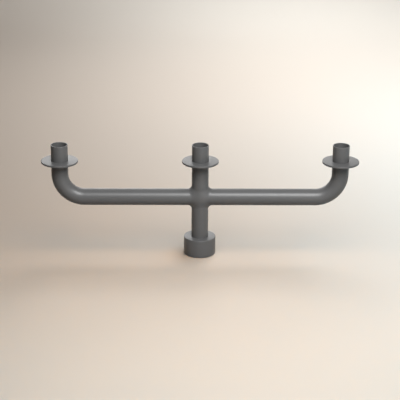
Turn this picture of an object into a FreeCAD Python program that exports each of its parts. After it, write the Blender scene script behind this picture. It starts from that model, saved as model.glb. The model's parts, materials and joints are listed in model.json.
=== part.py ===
"""Three-light tabletop candelabra: a bent steel tube frame on a turned foot.

Frame: +X along the arms to the right, +Y to the back, +Z up.
The origin is the middle of the underside, on the surface it stands on.
All lengths are in millimetres.
"""
import FreeCAD, Part

import math
import os

V = FreeCAD.Vector
UP = V(0, 0, 1)

# Frame tube
tube_od = 25.0
tube_wall = 1.5
arm_reach = 208.0            # stem axis to the axis of an end cup
arm_height = 90.0            # arm axis above the table
bend_radius = 36.5           # centreline radius of the arm bends
plate_height = 144.5         # underside of the drip plates above the table
weld_radius = 6.2            # concave blend of the dressed welds
weld_sink = 0.03             # how far the blend dips under the tube faces at its toes
cope_land = 1.5              # flat left on the tip of a coped arm
vent_d = 5.0                 # hole from the stem into each arm, for the oven gases

# Drip plates
plate_d = 54.5
plate_t = 2.8
plate_edge_r = 0.5

# Candle cups
cup_od = 25.0
cup_bore_d = 22.6            # for 22 mm taper candles
cup_height = 24.2
cup_floor_t = 3.0
cup_lip_r = 0.35
cup_foot_r = 0.4             # small radius where a cup meets its plate

# Screws that clamp the cups, and the plugs that take them
cup_screw_d = 4.0
cup_screw_head_d = 8.0
cup_screw_length = 14.0
cup_screw_socket = 2.5       # across the flats
cup_screw_socket_depth = 1.2
end_plug_length = 12.0

# Foot
foot_d = 47.5
foot_top = 27.5              # top face of the foot above the table
foot_edge_r = 0.8
foot_lower_edge_r = 0.8
foot_socket_depth = 5.0      # how deep the stem stands in the foot
foot_bore_d = 20.0           # counterbore for the bolt head
foot_bore_depth = 12.0

# Foot bolt, its washer and the plug that takes it
foot_bolt_d = 8.0
foot_bolt_head_d = 13.0
foot_bolt_head_t = 8.0
foot_bolt_socket = 6.0       # across the flats
foot_bolt_socket_depth = 4.0
foot_bolt_length = 30.0
foot_washer_d = 16.0
foot_washer_t = 1.6
base_plug_length = 20.0

# Pad under the foot
pad_d = 42.0
pad_t = 1.5
pad_proud = 0.5              # how far the pad stands out of its recess

# Clearances
thread_clearance = 0.1       # on the diameter, tapped hole to screw
hole_clearance = 0.5         # on the diameter, plain hole to screw
plug_clearance = 0.1         # on the diameter, plug to tube
socket_clearance = 0.2       # on the diameter, foot socket to stem
pad_clearance = 0.4          # on the diameter, pad to its recess

# Places that follow from the sizes
tube_r = tube_od / 2
tube_bore_r = tube_r - tube_wall
stem_bottom = foot_top - foot_socket_depth
foot_bottom = pad_proud
plate_top = plate_height + plate_t
cup_floor_top = plate_top + cup_floor_t
cup_top = plate_top + cup_height
bolt_seat = foot_bottom + foot_bore_depth
sides = {"left": -1, "right": 1}
stations = {"left": -arm_reach, "centre": 0.0, "right": arm_reach}


def rod(diameter, bottom, top, x=0.0):
    """Solid upright cylinder between two heights."""
    return Part.makeCylinder(diameter / 2, top - bottom, V(x, 0, bottom), UP)


def frustum(low_d, high_d, bottom, top, x=0.0):
    """Solid upright cone between two heights."""
    return Part.makeCone(low_d / 2, high_d / 2, top - bottom, V(x, 0, bottom), UP)


def circles_at(shape, radius, height):
    """Round edges of a shape that have this radius and lie at this height."""
    found = []
    for edge in shape.Edges:
        curve = edge.Curve
        if isinstance(curve, Part.Circle) and abs(curve.Radius - radius) < 1e-4:
            if abs(curve.Center.z - height) < 1e-4:
                found.append(edge)
    return found


def hexagon(across_flats, bottom, top, x=0.0):
    """Solid upright hexagonal prism, the recess of a socket-head screw."""
    corner_r = across_flats / math.sqrt(3)
    corners = []
    for k in range(7):
        angle = math.radians(60 * k)
        corners.append(V(x + corner_r * math.cos(angle), corner_r * math.sin(angle), bottom))
    return Part.Face(Part.makePolygon(corners)).extrude(V(0, 0, top - bottom))


def arm_path(side):
    """Centreline of one arm: out from the stem, round the bend and up to the plate."""
    start = V(0, 0, arm_height)
    bend_in = V(side * (arm_reach - bend_radius), 0, arm_height)
    swing = bend_radius * math.sin(math.pi / 4)
    rise = bend_radius * (1 - math.cos(math.pi / 4))
    bend_mid = V(bend_in.x + side * swing, 0, arm_height + rise)
    bend_out = V(side * arm_reach, 0, arm_height + bend_radius)
    end = V(side * arm_reach, 0, plate_height)
    run = Part.LineSegment(start, bend_in).toShape()
    bend = Part.Arc(bend_in, bend_mid, bend_out).toShape()
    leg = Part.LineSegment(bend_out, end).toShape()
    return Part.Wire([run, bend, leg])


def swept(side, radius):
    """Solid round bar along the centreline of one arm."""
    ring = Part.Circle(V(0, 0, arm_height), V(side, 0, 0), radius).toShape()
    return arm_path(side).makePipeShell([Part.Wire([ring])], True, False)


def stem_outer():
    """Solid of the stem's outer face, from the foot to the centre plate."""
    return rod(tube_od, stem_bottom, plate_height)


def make_stem_tube():
    """Upright tube, with a vent hole into each arm."""
    tube = stem_outer().cut(rod(2 * tube_bore_r, stem_bottom, plate_height))
    vent = Part.makeCylinder(vent_d / 2, 2 * tube_od, V(-tube_od, 0, arm_height), V(1, 0, 0))
    return tube.cut(vent)


def make_arm_tube(side):
    """Bent tube, coped to fit round the stem, with its thin tips taken off."""
    tube = swept(side, tube_r).cut(swept(side, tube_bore_r)).cut(stem_outer())
    tips = Part.makeBox(2 * cope_land, 2 * tube_od, 2 * tube_od,
                        V(-cope_land, -tube_od, arm_height - tube_od))
    return tube.cut(tips)


def weld_section(angle, side, rise):
    """Outline of the weld blank where its blend leans round the tubes by this angle."""
    centre_r = tube_r + weld_radius - weld_sink
    cos, sin = math.cos(angle), math.sin(angle)
    centre = V(centre_r * cos, centre_r * sin, centre_r * cos)
    to_stem = V(-cos, -sin, 0)
    to_arm = V(0, -sin, -cos)
    to_middle = (to_stem + to_arm).normalize()
    on_stem = centre + to_stem * weld_radius
    on_arm = centre + to_arm * weld_radius
    middle = centre + to_middle * weld_radius
    root = centre + to_middle * (weld_radius * math.sqrt(2) + tube_wall)

    def placed(point):
        return V(side * point.x, point.y, arm_height + rise * point.z)

    blend = Part.Arc(placed(on_stem), placed(middle), placed(on_arm)).toShape()
    inner = Part.LineSegment(placed(on_arm), placed(root)).toShape()
    outer = Part.LineSegment(placed(root), placed(on_stem)).toShape()
    return Part.Wire([blend, inner, outer])


def make_weld(side):
    """Dressed weld between one arm and the stem: an upper and a lower fillet."""
    bars = [stem_outer(), swept(side, tube_r)]
    fillets = []
    for rise in (1, -1):
        sections = []
        for step in range(-8, 9):
            sections.append(weld_section(math.radians(10.5 * step), side, rise))
        blank = Part.makeLoft(sections, True, False)
        fillets += blank.cut(bars).Solids
    return Part.makeCompound(fillets)


def make_drip_plate(x):
    """Flat round plate with a soft edge and a hole for the cup screw."""
    plate = rod(plate_d, plate_height, plate_top, x)
    rims = circles_at(plate, plate_d / 2, plate_height) + circles_at(plate, plate_d / 2, plate_top)
    plate = plate.makeFillet(plate_edge_r, rims)
    return plate.cut(rod(cup_screw_d + hole_clearance, plate_height, plate_top, x))


def screw_head(x):
    """Countersunk screw head, flush with the cup's floor."""
    head_t = (cup_screw_head_d - cup_screw_d) / 2
    return frustum(cup_screw_d, cup_screw_head_d, cup_floor_top - head_t, cup_floor_top, x)


def make_candle_cup(x):
    """Open cup for one candle, with a countersunk hole in its floor."""
    cup = rod(cup_od, plate_top, cup_top, x).cut(rod(cup_bore_d, cup_floor_top, cup_top, x))
    lips = circles_at(cup, cup_od / 2, cup_top) + circles_at(cup, cup_bore_d / 2, cup_top)
    cup = cup.makeFillet(cup_lip_r, lips)
    cup = cup.makeFillet(cup_foot_r, circles_at(cup, cup_od / 2, plate_top))
    cup = cup.cut(rod(cup_screw_d + hole_clearance, plate_top, cup_floor_top, x))
    return cup.cut(screw_head(x))


def make_cup_screw(x):
    """Countersunk socket screw from the cup's floor into the end plug."""
    shank = rod(cup_screw_d, cup_floor_top - cup_screw_length, cup_floor_top, x)
    screw = shank.fuse(screw_head(x)).removeSplitter()
    socket_bottom = cup_floor_top - cup_screw_socket_depth
    return screw.cut(hexagon(cup_screw_socket, socket_bottom, cup_floor_top, x))


def make_end_plug(x):
    """Tapped plug inside the top of a tube, flush with its end."""
    bottom = plate_height - end_plug_length
    plug = rod(2 * tube_bore_r - plug_clearance, bottom, plate_height, x)
    return plug.cut(rod(cup_screw_d + thread_clearance, bottom, plate_height, x))


def make_base_plug():
    """Tapped plug inside the bottom of the stem, flush with its end."""
    top = stem_bottom + base_plug_length
    plug = rod(2 * tube_bore_r - plug_clearance, stem_bottom, top)
    return plug.cut(rod(foot_bolt_d + thread_clearance, stem_bottom, top))


def make_foot():
    """Turned weight with a socket for the stem and a counterbore for the bolt."""
    foot = rod(foot_d, foot_bottom, foot_top)
    foot = foot.makeFillet(foot_edge_r, circles_at(foot, foot_d / 2, foot_top))
    foot = foot.makeFillet(foot_lower_edge_r, circles_at(foot, foot_d / 2, foot_bottom))
    foot = foot.cut(rod(tube_od + socket_clearance, stem_bottom, foot_top))
    foot = foot.cut(rod(pad_d + pad_clearance, foot_bottom, pad_t))
    foot = foot.cut(rod(foot_bore_d, pad_t, bolt_seat))
    return foot.cut(rod(foot_bolt_d + hole_clearance, bolt_seat, stem_bottom))


def make_foot_washer():
    """Plain washer under the head of the foot bolt."""
    bottom = bolt_seat - foot_washer_t
    washer = rod(foot_washer_d, bottom, bolt_seat)
    return washer.cut(rod(foot_bolt_d + hole_clearance, bottom, bolt_seat))


def make_foot_bolt():
    """Socket-head bolt from the foot's counterbore up into the base plug."""
    seat = bolt_seat - foot_washer_t
    head_bottom = seat - foot_bolt_head_t
    head = rod(foot_bolt_head_d, head_bottom, seat)
    socket = hexagon(foot_bolt_socket, head_bottom, head_bottom + foot_bolt_socket_depth)
    return head.fuse(rod(foot_bolt_d, seat, seat + foot_bolt_length)).cut(socket)


def make_foot_pad():
    """Soft disc that the candelabra stands on."""
    return rod(pad_d, 0, pad_t)


def main():
    """Build every piece and write one STEP file for each."""
    pieces = {
        "stem_tube": make_stem_tube(),
        "base_plug": make_base_plug(),
        "foot": make_foot(),
        "foot_washer": make_foot_washer(),
        "foot_bolt": make_foot_bolt(),
        "foot_pad": make_foot_pad(),
    }
    for name, side in sides.items():
        pieces["arm_tube_" + name] = make_arm_tube(side)
        pieces["weld_" + name] = make_weld(side)
    for name, x in stations.items():
        pieces["end_plug_" + name] = make_end_plug(x)
        pieces["drip_plate_" + name] = make_drip_plate(x)
        pieces["candle_cup_" + name] = make_candle_cup(x)
        pieces["cup_screw_" + name] = make_cup_screw(x)

    os.makedirs("parts", exist_ok=True)
    for name, shape in pieces.items():
        shape.exportStep("parts/" + name + ".step")
        box = shape.BoundBox
        print(name, "valid", shape.isValid(), "solids", len(shape.Solids),
              "volume", round(shape.Volume, 1), "z", round(box.ZMin, 2), round(box.ZMax, 2))


main()
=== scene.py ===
"""Looks of a three-light tabletop candelabra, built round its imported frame.

The candelabra is a bent steel tube frame on a turned foot, with a drip plate and an
open cup on each tube end, all under one matt powder coat. Lengths are in metres.
"""
import json
import logging
import math
from dataclasses import dataclass
from enum import Enum
from typing import Iterable

import bmesh
import bpy
from mathutils import Matrix, Vector

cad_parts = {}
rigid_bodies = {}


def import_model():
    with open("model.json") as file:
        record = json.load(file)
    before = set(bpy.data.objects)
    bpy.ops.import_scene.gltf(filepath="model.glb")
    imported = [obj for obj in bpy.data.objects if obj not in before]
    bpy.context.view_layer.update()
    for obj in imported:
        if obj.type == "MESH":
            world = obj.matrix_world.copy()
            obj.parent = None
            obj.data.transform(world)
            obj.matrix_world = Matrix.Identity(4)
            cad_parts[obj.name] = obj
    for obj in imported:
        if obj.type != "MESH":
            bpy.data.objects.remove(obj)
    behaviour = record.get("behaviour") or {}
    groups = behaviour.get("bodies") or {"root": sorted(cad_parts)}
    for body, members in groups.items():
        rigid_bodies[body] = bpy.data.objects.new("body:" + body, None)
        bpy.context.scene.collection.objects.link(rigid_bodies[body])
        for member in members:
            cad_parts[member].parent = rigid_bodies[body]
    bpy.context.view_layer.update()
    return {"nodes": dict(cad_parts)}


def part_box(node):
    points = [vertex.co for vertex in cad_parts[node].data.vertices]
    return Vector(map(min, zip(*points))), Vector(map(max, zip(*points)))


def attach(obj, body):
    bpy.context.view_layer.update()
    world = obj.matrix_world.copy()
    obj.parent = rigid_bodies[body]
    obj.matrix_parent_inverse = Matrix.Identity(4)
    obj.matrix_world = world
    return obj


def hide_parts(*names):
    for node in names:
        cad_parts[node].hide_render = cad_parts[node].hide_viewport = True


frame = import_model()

log = logging.getLogger("candelabra")

MM = 0.001
BODY = "root"
SHARP_ANGLE = math.radians(35)
MERGE_GAP = 1e-6
ROUND_STEPS = 6


class Station(Enum):
    """The three places that hold a candle."""

    LEFT = "left"
    CENTRE = "centre"
    RIGHT = "right"


class Side(Enum):
    """The two arms, with the way that each runs along X."""

    LEFT = -1
    RIGHT = 1


# ---------------------------------------------------------------- materials


def linear(code: str) -> tuple[float, float, float, float]:
    """Turn an sRGB hex colour into linear red, green, blue and alpha.

    Args:
        code: The colour, such as "#6a6a68".

    Returns:
        The four linear values, with alpha 1.
    """
    channels = [int(code[i:i + 2], 16) / 255 for i in (1, 3, 5)]
    low = [c / 12.92 if c <= 0.04045 else ((c + 0.055) / 1.055) ** 2.4 for c in channels]
    return (low[0], low[1], low[2], 1.0)


def add_node(tree: bpy.types.NodeTree, kind: str, settings: dict, links: dict) -> bpy.types.Node:
    """Add one node to a material.

    Args:
        tree: The material's node tree.
        kind: The node's type name.
        settings: Property names, or input names or numbers, with their values.
        links: Input names or numbers, with the output socket that feeds each.

    Returns:
        The new node.
    """
    node = tree.nodes.new(kind)
    for name, value in settings.items():
        if isinstance(name, str) and hasattr(node, name):
            setattr(node, name, value)
        else:
            node.inputs[name].default_value = value
    for name, output in links.items():
        tree.links.new(output, node.inputs[name])
    return node


def blank_material(name: str) -> tuple[bpy.types.Material, bpy.types.NodeTree, bpy.types.Node]:
    """Make a material with an empty Principled shader.

    Args:
        name: The finish's name.

    Returns:
        The material, its node tree and its shader.
    """
    material = bpy.data.materials.new(name)
    material.use_nodes = True
    tree = material.node_tree
    return material, tree, tree.nodes["Principled BSDF"]


@dataclass(frozen=True)
class PowderCoat:
    """Matt polyester powder coat, sprayed dry on steel and baked."""

    name: str = "charcoal_powder_coat"
    colour: str = "#5b5b5b"
    colour_thin: str = "#606060"
    roughness: float = 0.38
    roughness_spread: float = 0.05
    specular: float = 0.5
    pebble: float = 1.1 * MM
    pebble_height: float = 0.022 * MM
    drift: float = 14 * MM

    def material(self) -> bpy.types.Material:
        """Build the coat: a drifting tone, a fine pebble and an uneven gloss."""
        material, tree, shader = blank_material(self.name)
        place = add_node(tree, "ShaderNodeTexCoord", {}, {}).outputs["Object"]
        # The powder lands a little thicker in some places, which gives the eye a soft drift of tone
        cloud = add_node(tree, "ShaderNodeTexNoise",
                         {"Scale": 1 / self.drift, "Detail": 3.0, "Roughness": 0.55},
                         {"Vector": place})
        tone = add_node(tree, "ShaderNodeMix",
                        {"data_type": "RGBA", 6: linear(self.colour), 7: linear(self.colour_thin)},
                        {0: cloud.outputs["Fac"]})
        tree.links.new(tone.outputs[2], shader.inputs["Base Color"])
        # A real coat's pebble is about 0.3 mm across, and is drawn coarser here so that it shows
        pebble = add_node(tree, "ShaderNodeTexNoise",
                          {"Scale": 1 / self.pebble, "Detail": 2.0, "Roughness": 0.5},
                          {"Vector": place})
        bump = add_node(tree, "ShaderNodeBump", {"Strength": 1.0, "Distance": self.pebble_height},
                        {"Height": pebble.outputs["Fac"]})
        tree.links.new(bump.outputs["Normal"], shader.inputs["Normal"])
        gloss = add_node(tree, "ShaderNodeMapRange",
                         {"From Min": 0.3, "From Max": 0.7,
                          "To Min": self.roughness - self.roughness_spread,
                          "To Max": self.roughness + self.roughness_spread},
                         {"Value": pebble.outputs["Fac"]})
        tree.links.new(gloss.outputs["Result"], shader.inputs["Roughness"])
        shader.inputs["Specular IOR Level"].default_value = self.specular
        return material


@dataclass(frozen=True)
class BareMetal:
    """Turned or plated steel with fine tool rings round its upright axis."""

    name: str
    colour: str
    roughness: float
    metallic: float = 1.0
    ring: float = 0.4 * MM
    ring_height: float = 0.006 * MM
    squash: float = 0.05

    def material(self) -> bpy.types.Material:
        """Build the metal, with rings that stack up along Z."""
        material, tree, shader = blank_material(self.name)
        # The tool leaves rings about 0.1 mm apart, which give the eye a fine banded sheen. They are
        # drawn coarser here so that they show
        place = add_node(tree, "ShaderNodeTexCoord", {}, {}).outputs["Object"]
        squash = add_node(tree, "ShaderNodeMapping", {"Scale": (self.squash, self.squash, 1.0)},
                          {"Vector": place})
        rings = add_node(tree, "ShaderNodeTexNoise", {"Scale": 1 / self.ring, "Detail": 2.0},
                         {"Vector": squash.outputs["Vector"]})
        bump = add_node(tree, "ShaderNodeBump", {"Distance": self.ring_height},
                        {"Height": rings.outputs["Fac"]})
        tree.links.new(bump.outputs["Normal"], shader.inputs["Normal"])
        shader.inputs["Base Color"].default_value = linear(self.colour)
        shader.inputs["Metallic"].default_value = self.metallic
        shader.inputs["Roughness"].default_value = self.roughness
        return material


@dataclass(frozen=True)
class FoamRubber:
    """Closed-cell foam rubber, die-cut from sheet."""

    name: str = "black_cell_rubber"
    colour: str = "#262625"
    cell: float = 0.8 * MM
    cell_depth: float = 0.08 * MM
    roughness: float = 0.9
    specular: float = 0.3

    def material(self) -> bpy.types.Material:
        """Build the rubber, with its skin of small burst cells."""
        material, tree, shader = blank_material(self.name)
        # The burst cells leave shallow pits, which give the eye a dull, pocked black
        place = add_node(tree, "ShaderNodeTexCoord", {}, {}).outputs["Object"]
        cells = add_node(tree, "ShaderNodeTexVoronoi", {"Scale": 1 / self.cell},
                         {"Vector": place})
        bump = add_node(tree, "ShaderNodeBump", {"Distance": self.cell_depth},
                        {"Height": cells.outputs["Distance"]})
        tree.links.new(bump.outputs["Normal"], shader.inputs["Normal"])
        shader.inputs["Base Color"].default_value = linear(self.colour)
        shader.inputs["Roughness"].default_value = self.roughness
        shader.inputs["Specular IOR Level"].default_value = self.specular
        return material


@dataclass(frozen=True)
class StudioPaper:
    """Seamless background paper, matt and warm."""

    name: str = "studio_paper"
    colour: str = "#dacdc0"
    roughness: float = 0.95
    specular: float = 0.1

    def material(self) -> bpy.types.Material:
        """Build the paper, plain all over."""
        material, _, shader = blank_material(self.name)
        shader.inputs["Base Color"].default_value = linear(self.colour)
        shader.inputs["Roughness"].default_value = self.roughness
        shader.inputs["Specular IOR Level"].default_value = self.specular
        return material


# ---------------------------------------------------------------- mesh making


def face_outwards(bm: bmesh.types.BMesh) -> None:
    """Turn each closed shell of a mesh so that its faces look outwards.

    Args:
        bm: The mesh.
    """
    bmesh.ops.recalc_face_normals(bm, faces=bm.faces)
    left = set(bm.faces)
    while left:
        front, shell = [left.pop()], []
        while front:
            face = front.pop()
            shell.append(face)
            for other in {f for edge in face.edges for f in edge.link_faces} & left:
                left.discard(other)
                front.append(other)
        if sum(f.calc_center_median().dot(f.normal) * f.calc_area() for f in shell) < 0:
            bmesh.ops.reverse_faces(bm, faces=shell)


def finish_piece(bm: bmesh.types.BMesh, node: str, material: bpy.types.Material) -> bpy.types.Object:
    """Turn a bmesh into a smooth piece that stands for a CAD node.

    Args:
        bm: The piece's mesh, in the row frame. It is freed.
        node: The CAD node that the piece stands for.
        material: The piece's finish.

    Returns:
        The new object, riding on the body.
    """
    bmesh.ops.remove_doubles(bm, verts=bm.verts, dist=MERGE_GAP)
    face_outwards(bm)
    for face in bm.faces:
        face.smooth = True
    for edge in bm.edges:
        edge.smooth = len(edge.link_faces) == 2 and edge.calc_face_angle() < SHARP_ANGLE
    mesh = bpy.data.meshes.new(node + "_coated")
    bm.to_mesh(mesh)
    bm.free()
    mesh.materials.append(material)
    piece = bpy.data.objects.new(node + "_coated", mesh)
    bpy.context.scene.collection.objects.link(piece)
    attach(piece, BODY)
    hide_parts(node)
    log.info("%s: %d faces", piece.name, len(mesh.polygons))
    return piece


def dress_node(node: str, material: bpy.types.Material) -> None:
    """Give a CAD node its finish.

    Args:
        node: The node's name.
        material: The finish.
    """
    part = frame["nodes"][node]
    part.data.materials.clear()
    part.data.materials.append(material)
    log.info("%s: dressed in %s", node, material.name)


@dataclass(frozen=True)
class Corner:
    """One corner of a turned outline, at a radius and a height, and how far it is rounded."""

    radius: float
    height: float
    round: float = 0.0


def turned(outline: Iterable[Corner], x: float, steps: int) -> bmesh.types.BMesh:
    """Turn a closed outline round an upright axis, as on a lathe.

    Args:
        outline: The corners, in order round the section.
        x: Where the axis stands along X.
        steps: How many steps go round.

    Returns:
        The turned mesh.
    """
    bm = bmesh.new()
    corners = list(outline)
    verts = [bm.verts.new((c.radius, 0.0, c.height)) for c in corners]
    for i, vert in enumerate(verts):
        bm.edges.new((vert, verts[(i + 1) % len(verts)]))
    for corner, vert in zip(corners, verts):
        if corner.round > 0:
            # Cut back along both sides, so that the arc between them has the asked radius
            bmesh.ops.bevel(bm, geom=[vert], affect="VERTICES", offset=corner.round,
                            offset_type="OFFSET", segments=ROUND_STEPS, profile=0.5, material=-1)
    bmesh.ops.spin(bm, geom=bm.verts[:] + bm.edges[:], cent=(0, 0, 0), axis=(0, 0, 1),
                   angle=2 * math.pi, steps=steps, use_merge=True)
    bmesh.ops.translate(bm, verts=bm.verts, vec=(x, 0, 0))
    return bm


# ---------------------------------------------------------------- sub-assemblies


@dataclass
class TubeFrame:
    """The upright stem, the two bent arms and the dressed welds between them."""

    coat: bpy.types.Material
    wall: float = 1.5 * MM
    bend_radius: float = 36.5 * MM
    weld_radius: float = 6.2 * MM
    around: int = 96
    bend_steps: int = 32
    weld_steps: int = 18
    face_match: float = 0.9

    def __post_init__(self) -> None:
        """Take the sizes that the frame gives."""
        low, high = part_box("stem_tube")
        self.radius = (high.x - low.x) / 2
        self.stem_low, self.plate_under = low.z, high.z
        arm_low, arm_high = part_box("arm_tube_right")
        self.arm_height = arm_low.z + self.radius
        self.reach = arm_high.x - self.radius

    def build(self) -> None:
        """Build and dress the stem, both arms and both welds."""
        self.build_stem()
        for side in Side:
            self.build_arm(side)
            self.build_weld(side)

    def build_stem(self) -> None:
        """Turn the stem, a plain tube from the foot to the centre plate."""
        inner = self.radius - self.wall
        outline = [Corner(inner, self.stem_low), Corner(self.radius, self.stem_low),
                   Corner(self.radius, self.plate_under), Corner(inner, self.plate_under)]
        finish_piece(turned(outline, 0.0, self.around), "stem_tube", self.coat)

    def arm_wall(self, bm: bmesh.types.BMesh, radius: float) -> tuple[list, list]:
        """Draw one skin of the right arm: run out, bent and led up to its plate.

        Args:
            bm: The mesh to add to.
            radius: The skin's radius.

        Returns:
            The edges of the skin's first ring and of its last.
        """
        made = bmesh.ops.create_circle(bm, cap_ends=False, segments=self.around, radius=radius)
        ring = made["verts"]
        bmesh.ops.rotate(bm, verts=ring, cent=(0, 0, 0), matrix=Matrix.Rotation(math.pi / 2, 3, "Y"))
        first = list(dict.fromkeys(edge for vert in ring for edge in vert.link_edges))
        edges = first
        bend_in = self.reach - self.bend_radius
        # The first two rings stand close to the stem, which keeps the coped faces short
        for x in (1.5 * self.radius, 2.5 * self.radius, bend_in / 2, bend_in):
            edges = self.next_ring(bm, edges)
            for vert in {v for e in edges for v in e.verts}:
                vert.co.x = x
        spun = bmesh.ops.spin(bm, geom=edges + list({v for e in edges for v in e.verts}),
                              cent=(bend_in, 0, self.bend_radius), axis=(0, 1, 0),
                              angle=-math.pi / 2, steps=self.bend_steps)
        edges = [g for g in spun["geom_last"] if isinstance(g, bmesh.types.BMEdge)]
        edges = self.next_ring(bm, edges)
        for vert in {v for e in edges for v in e.verts}:
            vert.co.z = self.plate_under - self.arm_height
        return first, edges

    def next_ring(self, bm: bmesh.types.BMesh, edges: list) -> list:
        """Extrude a ring of edges in place.

        Args:
            bm: The mesh.
            edges: The ring's edges.

        Returns:
            The new ring's edges.
        """
        grown = bmesh.ops.extrude_edge_only(bm, edges=edges)["geom"]
        return [g for g in grown if isinstance(g, bmesh.types.BMEdge)
                and len(g.link_faces) == 1]

    def close_end(self, bm: bmesh.types.BMesh, outer: list, inner: list) -> None:
        """Close the wall's end between its two skins, where the bridge operator twists.

        Args:
            bm: The arm's mesh.
            outer: The edges of the outer skin's end.
            inner: The edges of the inner skin's end.
        """
        far = {v for edge in inner for v in edge.verts}
        mates = {v: min(far, key=lambda w: (w.co - v.co).length_squared)
                 for edge in outer for v in edge.verts}
        for edge in outer:
            one, two = edge.verts
            bm.faces.new((one, two, mates[two], mates[one]))

    def build_arm(self, side: Side) -> None:
        """Build one arm as a closed tube wall.

        Args:
            side: Which arm.
        """
        bm = bmesh.new()
        outer_first, outer_last = self.arm_wall(bm, self.radius)
        inner_first, inner_last = self.arm_wall(bm, self.radius - self.wall)
        self.close_end(bm, outer_first, inner_first)
        self.close_end(bm, outer_last, inner_last)
        # Coping the flat end to the stem comes after it is closed, while each point still has its mate
        for vert in {v for edge in outer_first + inner_first for v in edge.verts}:
            vert.co.x = math.sqrt(max(self.radius ** 2 - vert.co.y ** 2, 0.0))
        bmesh.ops.scale(bm, verts=bm.verts, vec=(side.value, 1, 1))
        bmesh.ops.translate(bm, verts=bm.verts, vec=(0, 0, self.arm_height))
        finish_piece(bm, "arm_tube_" + side.name.lower(), self.coat)

    def weld_point(self, lean: float, turn: float) -> Vector:
        """Give one point on the dressed weld's face, from the arms' crossing point.

        Args:
            lean: Angle round the tubes, from the corner's middle to the front or back.
            turn: Angle across the weld, from its toe on the stem to its toe on the arm.

        Returns:
            The point in the corner above the right arm.
        """
        off_stem = self.weld_radius * (1 - math.cos(turn))
        off_arm = self.weld_radius * (1 - math.sin(turn))
        y = math.sin(lean) * (self.radius + min(off_stem, off_arm))
        x = math.sqrt(max((self.radius + off_stem) ** 2 - y ** 2, 0.0))
        z = math.sqrt(max((self.radius + off_arm) ** 2 - y ** 2, 0.0))
        return Vector((x, y, z))

    def weld_normal(self, point: Vector) -> Vector:
        """Give the direction that the dressed weld faces at a point.

        Args:
            point: The point, from the arms' crossing point.

        Returns:
            The direction, of length one. At each toe it is the tube's own.
        """
        on_stem = Vector((point.x, point.y, 0))
        on_arm = Vector((0, point.y, point.z))
        stem_share = max(self.weld_radius - on_stem.length + self.radius, 0.0)
        arm_share = max(self.weld_radius - on_arm.length + self.radius, 0.0)
        return (on_stem.normalized() * stem_share + on_arm.normalized() * arm_share).normalized()

    def build_weld(self, side: Side) -> None:
        """Build the weld metal round one arm's root, ground to a smooth hollow blend.

        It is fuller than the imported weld: it stands up to 1.8 mm proud of the tubes at the front
        and back of the crossing, where that weld runs out to nothing.

        Args:
            side: Which arm.
        """
        bm = bmesh.new()
        rows = self.around // 2
        for rise in (1, -1):
            ring: list = []
            for row in range(rows + 1):
                lean = math.radians(-90 + 180 * row / rows)
                places = [self.weld_point(lean, math.radians(90 * k / self.weld_steps))
                          for k in range(self.weld_steps + 1)]
                root = self.radius * math.cos(lean)
                places.append(Vector((root, self.radius * math.sin(lean), root)))
                places = [Vector((side.value * p.x, p.y, rise * p.z)) for p in places]
                if not ring:
                    ring = [bm.verts.new(p) for p in places]
                    for i, vert in enumerate(ring):
                        bm.edges.new((vert, ring[(i + 1) % len(ring)]))
                    continue
                edges = [bm.edges.get((v, ring[(i + 1) % len(ring)])) for i, v in enumerate(ring)]
                grown = bmesh.ops.extrude_edge_only(bm, edges=edges)["geom"]
                new = [g for g in grown if isinstance(g, bmesh.types.BMVert)]
                ring = self.matched(ring, new)
                for vert, place in zip(ring, places):
                    vert.co = place
        bmesh.ops.remove_doubles(bm, verts=bm.verts, dist=MERGE_GAP)
        bmesh.ops.holes_fill(bm, edges=[e for e in bm.edges if e.is_boundary])
        bmesh.ops.translate(bm, verts=bm.verts, vec=(0, 0, self.arm_height))
        piece = finish_piece(bm, "weld_" + side.name.lower(), self.coat)
        self.blend_normals(piece)

    def matched(self, old: list, new: list) -> list:
        """Put freshly extruded vertices in the order of the ring that they came from.

        Args:
            old: The ring's vertices, in order.
            new: The vertices that were extruded from them.

        Returns:
            The new vertices, in the same order.
        """
        fresh = set(new)
        return [next(v for e in vert.link_edges for v in e.verts if v in fresh and v is not vert)
                for vert in old]

    def blend_normals(self, piece: bpy.types.Object) -> None:
        """Make a weld's face shade as one with the tubes that it runs into.

        Args:
            piece: The weld.
        """
        mesh = piece.data
        crossing = Vector((0, 0, self.arm_height))
        normals = [Vector((0, 0, 0))] * len(mesh.loops)
        for face in mesh.polygons:
            middle = face.center - crossing
            if face.normal.dot(self.weld_normal(middle)) < self.face_match:
                continue
            for loop in face.loop_indices:
                point = mesh.vertices[mesh.loops[loop].vertex_index].co - crossing
                normals[loop] = self.weld_normal(point)
        mesh.normals_split_custom_set(normals)


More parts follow.
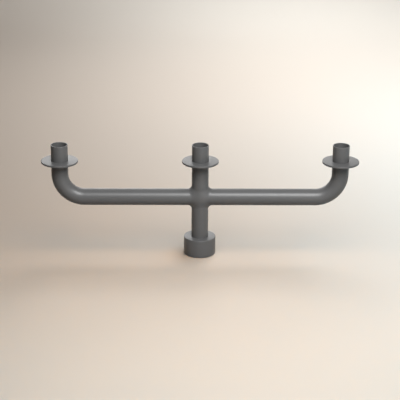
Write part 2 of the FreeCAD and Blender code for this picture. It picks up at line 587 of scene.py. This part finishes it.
@dataclass
class CandleStand:
    """One drip plate with its candle cup and the screw in the cup's floor."""

    station: Station
    coat: bpy.types.Material
    screw: bpy.types.Material
    plate_steps: int = 144
    cup_steps: int = 96
    plate_edge: float = 0.5 * MM
    cup_wall: float = 1.2 * MM
    cup_floor: float = 3.0 * MM
    lip: float = 0.35 * MM
    cup_foot: float = 0.4 * MM
    screw_hole: float = 2.25 * MM
    screw_shank: float = 2.0 * MM
    screw_head: float = 4.0 * MM

    def node(self, part: str) -> str:
        """Name one of this stand's CAD nodes."""
        return part + "_" + self.station.value

    def build(self) -> None:
        """Build the plate and the cup, and dress the screw."""
        self.build_plate()
        self.build_cup()
        dress_node(self.node("cup_screw"), self.screw)

    def build_plate(self) -> None:
        """Turn the flat drip plate, with its edge eased and a hole for the screw."""
        low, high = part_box(self.node("drip_plate"))
        outer, hole = (high.x - low.x) / 2, self.screw_hole
        outline = [Corner(hole, low.z), Corner(outer, low.z, self.plate_edge),
                   Corner(outer, high.z, self.plate_edge), Corner(hole, high.z)]
        bm = turned(outline, (low.x + high.x) / 2, self.plate_steps)
        finish_piece(bm, self.node("drip_plate"), self.coat)

    def build_cup(self) -> None:
        """Turn the thin cup, with a rolled lip and a countersunk floor."""
        low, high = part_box(self.node("candle_cup"))
        outer = (high.x - low.x) / 2
        bore, floor = outer - self.cup_wall, low.z + self.cup_floor
        sunk = floor - (self.screw_head - self.screw_shank)
        hole_top = sunk + self.screw_hole - self.screw_shank
        outline = [Corner(self.screw_hole, low.z), Corner(outer, low.z, self.cup_foot),
                   Corner(outer, high.z, self.lip), Corner(bore, high.z, self.lip),
                   Corner(bore, floor), Corner(self.screw_head, floor),
                   Corner(self.screw_hole, hole_top)]
        bm = turned(outline, (low.x + high.x) / 2, self.cup_steps)
        finish_piece(bm, self.node("candle_cup"), self.coat)


@dataclass
class Foot:
    """The turned foot, its pad and the bolt that holds it to the stem."""

    coat: bpy.types.Material
    zinc: bpy.types.Material
    steel: bpy.types.Material
    rubber: bpy.types.Material
    steps: int = 144
    top_edge: float = 0.8 * MM
    low_edge: float = 0.8 * MM
    socket: float = 12.6 * MM
    recess: float = 21.2 * MM
    counterbore: float = 10.0 * MM
    bolt_hole: float = 4.25 * MM
    bolt_seat: float = 12.5 * MM

    def build(self) -> None:
        """Build the foot and dress what it hides."""
        low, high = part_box("foot")
        outer = (high.x - low.x) / 2
        stem_low, pad_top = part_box("stem_tube")[0].z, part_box("foot_pad")[1].z
        outline = [Corner(self.recess, low.z), Corner(outer, low.z, self.low_edge),
                   Corner(outer, high.z, self.top_edge), Corner(self.socket, high.z),
                   Corner(self.socket, stem_low), Corner(self.bolt_hole, stem_low),
                   Corner(self.bolt_hole, self.bolt_seat), Corner(self.counterbore, self.bolt_seat),
                   Corner(self.counterbore, pad_top), Corner(self.recess, pad_top)]
        finish_piece(turned(outline, 0.0, self.steps), "foot", self.coat)
        dress_node("foot_pad", self.rubber)
        dress_node("foot_bolt", self.zinc)
        dress_node("foot_washer", self.zinc)
        dress_node("base_plug", self.steel)
        for station in Station:
            dress_node("end_plug_" + station.value, self.steel)


# ---------------------------------------------------------------- studio


@dataclass(frozen=True)
class SoftLight:
    """A square soft light that falls on the candelabra only, hung at an angle and a distance.

    Angles are in degrees, the distance and size in metres and the power in watts. The paper doesn't
    stop it, so one hung under the floor stands for the floor's bounce.
    """

    name: str
    azimuth: float
    elevation: float
    distance: float
    size: float
    power: float
    aim: tuple[float, float, float] = (0.0, 0.0, 85 * MM)

    def build(self, steel: bpy.types.Collection) -> None:
        """Hang the light.

        Args:
            steel: The candelabra's pieces.
        """
        turn, lift = math.radians(self.azimuth), math.radians(self.elevation)
        away = Vector((math.sin(turn) * math.cos(lift), -math.cos(turn) * math.cos(lift),
                       math.sin(lift)))
        place = Vector(self.aim) + away * self.distance
        hang(self.name, self.size, self.power, (1.0, 1.0, 1.0), place, away, steel, steel)


@dataclass(frozen=True)
class PaperLight:
    """A square soft light that falls on the paper only, and faces straight down unless told.

    The power is in watts of red, green and blue.
    """

    name: str
    place: tuple[float, float, float]
    size: float
    power: tuple[float, float, float]
    facing: tuple[float, float, float] = (0.0, 0.0, -1.0)

    def build(self, paper: bpy.types.Collection, steel: bpy.types.Collection) -> None:
        """Hang the light.

        Args:
            paper: The paper, which it falls on.
            steel: The candelabra's pieces, which throw the shadows.
        """
        most = max(self.power)
        hang(self.name, self.size, most, tuple(p / most for p in self.power), Vector(self.place),
             -Vector(self.facing), paper, steel)


def hang(name: str, size: float, power: float, colour: tuple[float, ...], place: Vector,
         away: Vector, lit: bpy.types.Collection, blockers: bpy.types.Collection) -> None:
    """Hang one square area light.

    Args:
        name: The light's name.
        size: Its side.
        power: Its power in watts.
        colour: Its linear colour.
        place: Where it hangs.
        away: The direction that its back faces.
        lit: What it falls on.
        blockers: What throws shadows in its light.
    """
    data = bpy.data.lights.new(name, "AREA")
    data.shape, data.size = "SQUARE", size
    data.energy, data.color = power, colour
    lamp = bpy.data.objects.new(name, data)
    lamp.location = place
    lamp.rotation_euler = away.to_track_quat("Z", "Y").to_euler()
    lamp.light_linking.receiver_collection = lit
    lamp.light_linking.blocker_collection = blockers
    lamp.visible_camera = False
    bpy.context.scene.collection.objects.link(lamp)
    log.info("%s hung", name)


@dataclass
class Studio:
    """The paper sweep, the lights and the camera."""

    paper: bpy.types.Material
    radius: float = 6.0
    curve: float = 2.5
    wall: float = 4.0
    sweep_steps: int = 96
    curve_steps: int = 16
    sweep_merge: float = 1e-5
    lens: float = 135.0
    sensor: float = 36.0
    clip: tuple[float, float] = (0.01, 50.0)
    camera_distance: float = 2.2407
    camera_azimuth: float = 1.118
    camera_elevation: float = 21.171
    camera_roll: float = 0.537
    aim_x: float = 0.005 * MM
    aim_z: float = 84.8 * MM
    lights: tuple[SoftLight, ...] = (
        SoftLight("key", 18, 50, 1.5, 0.75, 27),
        SoftLight("fill", 22, 12, 1.5, 0.8, 2.3),
        SoftLight("bounce", 15, -40, 1.5, 1.0, 2.5),
        SoftLight("top", 165, 65, 1.5, 0.8, 1.5),
        SoftLight("back", 182, 13, 2.2, 1.4, 11.5),
        SoftLight("back_left", 200, 32, 1.5, 1.0, 3),
    )
    washes: tuple[PaperLight, ...] = (
        PaperLight("wash_near", (0.3, -0.9, 0.4), 1.4, (2.75, 4.70, 6.00)),
        PaperLight("wash_front", (0.1, -0.4, 0.6), 0.7, (3.63, 2.54, 1.68)),
        PaperLight("wash_right", (0.9, 0.3, 0.6), 1.0, (5.09, 7.82, 9.88)),
        PaperLight("wash_back", (0.3, 0.8, 0.8), 0.7, (7.87, 7.48, 7.20)),
        PaperLight("wash_far", (0.3, 1.5, 0.5), 0.7, (2.90, 3.34, 3.64)),
        PaperLight("wash_left", (-1.9, 1.0, 0.7), 1.4, (5.8, 4.9, 4.2)),
        PaperLight("wash_near_left", (-1.9, -1.0, 0.7), 1.4, (5.8, 4.9, 4.2)),
    )
    far_lights: int = 6
    far_radius: float = 2.6
    far_height: float = 2.0
    far_lean: float = 55.0
    far_size: float = 1.6
    far_power: tuple[float, float, float] = (67.43, 70.89, 73.31)

    def build(self) -> None:
        """Lay the sweep, hang the lights and place the camera."""
        sweep = self.build_sweep()
        steel = bpy.data.collections.new("steel")
        for thing in bpy.context.scene.objects:
            if thing.type == "MESH" and thing != sweep:
                steel.objects.link(thing)
        paper = bpy.data.collections.new("paper")
        paper.objects.link(sweep)
        for light in self.lights:
            light.build(steel)
        for wash in self.washes + self.ring():
            wash.build(paper, steel)
        # The lamps give all the light, and the air round them none
        world = bpy.data.worlds.new("studio_air")
        world.use_nodes = True
        world.node_tree.nodes["Background"].inputs["Strength"].default_value = 0.0
        bpy.context.scene.world = world
        self.build_camera(Vector((self.aim_x, 0, self.aim_z)))

    def ring(self) -> tuple[PaperLight, ...]:
        """Place the far lights in a ring that leans out, so that the paper stays pale all round.

        Returns:
            The lights.
        """
        lean, lights = math.radians(self.far_lean), []
        for k in range(self.far_lights):
            turn = 2 * math.pi * (k + 0.5) / self.far_lights
            out = Vector((math.cos(turn), math.sin(turn), 0))
            place = out * self.far_radius + Vector((0, 0, self.far_height))
            facing = out * math.sin(lean) - Vector((0, 0, math.cos(lean)))
            lights.append(PaperLight(f"far_{k}", tuple(place), self.far_size, self.far_power,
                                     tuple(facing)))
        return tuple(lights)

    def build_sweep(self) -> bpy.types.Object:
        """Turn a round floor that curves up into a wall all round.

        Returns:
            The sweep.
        """
        bm = bmesh.new()
        verts = [bm.verts.new((0, 0, 0)), bm.verts.new((self.radius - self.curve, 0, 0))]
        for k in range(1, self.curve_steps + 1):
            turn = math.pi / 2 * k / self.curve_steps
            verts.append(bm.verts.new((self.radius - self.curve * (1 - math.sin(turn)), 0,
                                       self.curve * (1 - math.cos(turn)))))
        verts.append(bm.verts.new((self.radius, 0, self.wall)))
        for low, high in zip(verts, verts[1:]):
            bm.edges.new((low, high))
        bmesh.ops.spin(bm, geom=bm.verts[:] + bm.edges[:], cent=(0, 0, 0), axis=(0, 0, 1),
                       angle=2 * math.pi, steps=self.sweep_steps, use_merge=True)
        bmesh.ops.remove_doubles(bm, verts=bm.verts, dist=self.sweep_merge)
        bmesh.ops.recalc_face_normals(bm, faces=bm.faces)
        for face in bm.faces:
            face.smooth = True
        mesh = bpy.data.meshes.new("sweep")
        bm.to_mesh(mesh)
        bm.free()
        mesh.materials.append(self.paper)
        sweep = bpy.data.objects.new("sweep", mesh)
        # The paper's bounce is left out, or it would fill the dark shade under the plates
        sweep.visible_diffuse = False
        bpy.context.scene.collection.objects.link(sweep)
        return sweep

    def build_camera(self, aim: Vector) -> None:
        """Place the camera in front of the candelabra and a little above it.

        Args:
            aim: The point at the middle of its view.
        """
        turn, lift = math.radians(self.camera_azimuth), math.radians(self.camera_elevation)
        back = Vector((-math.sin(turn) * math.cos(lift), -math.cos(turn) * math.cos(lift),
                       math.sin(lift)))
        data = bpy.data.cameras.new("camera")
        data.lens, data.sensor_width = self.lens, self.sensor
        data.clip_start, data.clip_end = self.clip
        camera = bpy.data.objects.new("camera", data)
        facing = (-back).to_track_quat("-Z", "Y").to_matrix().to_4x4()
        roll = Matrix.Rotation(math.radians(self.camera_roll), 4, "Z")
        camera.matrix_world = Matrix.Translation(aim + back * self.camera_distance) @ facing @ roll
        bpy.context.scene.collection.objects.link(camera)
        bpy.context.scene.camera = camera
        log.info("camera placed")


# ---------------------------------------------------------------- main


def main() -> None:
    """Build the candelabra's looks and its studio."""
    logging.basicConfig(level=logging.INFO, format="%(message)s")
    bpy.context.scene.view_settings.view_transform = "Standard"
    coat = PowderCoat().material()
    oxide = BareMetal("black_oxide_steel", "#3a3a3c", 0.4).material()
    zinc = BareMetal("zinc_plated_steel", "#c9cbce", 0.3).material()
    steel = BareMetal("turned_steel", "#b9b9ba", 0.35).material()
    TubeFrame(coat).build()
    for station in Station:
        CandleStand(station, coat, oxide).build()
    Foot(coat, zinc, steel, FoamRubber().material()).build()
    Studio(StudioPaper().material()).build()


if __name__ == "__main__":
    main()
